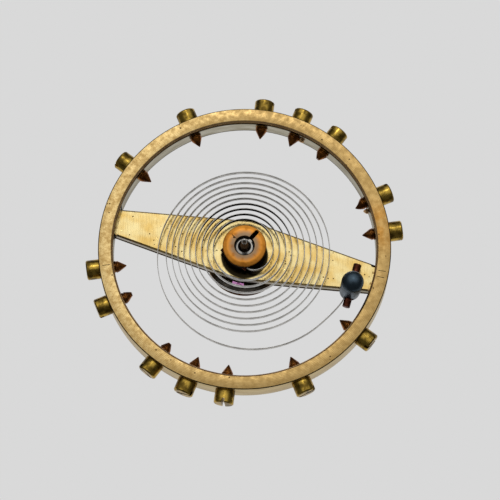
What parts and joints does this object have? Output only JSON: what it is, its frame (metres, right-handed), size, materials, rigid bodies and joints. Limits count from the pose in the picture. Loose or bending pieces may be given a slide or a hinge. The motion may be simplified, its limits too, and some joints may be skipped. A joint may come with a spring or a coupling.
{
  "type": "balance wheel",
  "caption": "Screw balance wheel with its staff, rollers, collet, flat spiral hairspring and upright stud; the wheel swings on its pivots.",
  "frame": {"origin": "on the staff's axis, at the middle of the rim's height", "axes": "+Z along the staff's axis to the hairspring's side, +X along the crossbar, to the half with the stud"},
  "size_m": [0.0188, 0.0196, 0.006],
  "materials": {
    "gilt_brass": "gilt, fine grained",
    "screw_brass": "turned brass, darkened",
    "bronze": "turned bronze",
    "pin_brass": "drawn brass, dull",
    "polished_steel": "polished hard steel",
    "blued_steel": "turned steel, dark slate blue",
    "spring_steel": "rolled strip",
    "ruby": "polished ruby"
  },
  "bodies": {
    "stud_group": {"hairspring_stud": "blued_steel", "stud_pin": "pin_brass", "hairspring": "spring_steel"},
    "balance": {"balance_wheel": "gilt_brass", "balance_staff": "polished_steel", "impulse_jewel": "ruby", "roller_table": "polished_steel", "safety_roller": "polished_steel", "collet": "bronze", "collet_pin": "pin_brass", "timing_screw_01": "screw_brass", "timing_screw_02": "screw_brass", "timing_screw_03": "screw_brass", "timing_screw_04": "screw_brass", "timing_screw_05": "screw_brass", "timing_screw_06": "screw_brass", "timing_screw_07": "screw_brass", "timing_screw_08": "screw_brass", "timing_screw_09": "screw_brass", "timing_screw_10": "screw_brass", "timing_screw_11": "screw_brass", "timing_screw_12": "screw_brass", "timing_screw_13": "screw_brass", "timing_screw_14": "screw_brass"}
  },
  "joints": [
    {"name": "balance_swing", "type": "hinge", "parent": "stud_group", "child": "balance", "pos_m": [0, 0, 0], "axis": [0, 0, 1], "range_deg": [-270, 270], "stiffness_Nm_per_rad": 0.00001574, "deforming": ["hairspring"]}
  ]
}
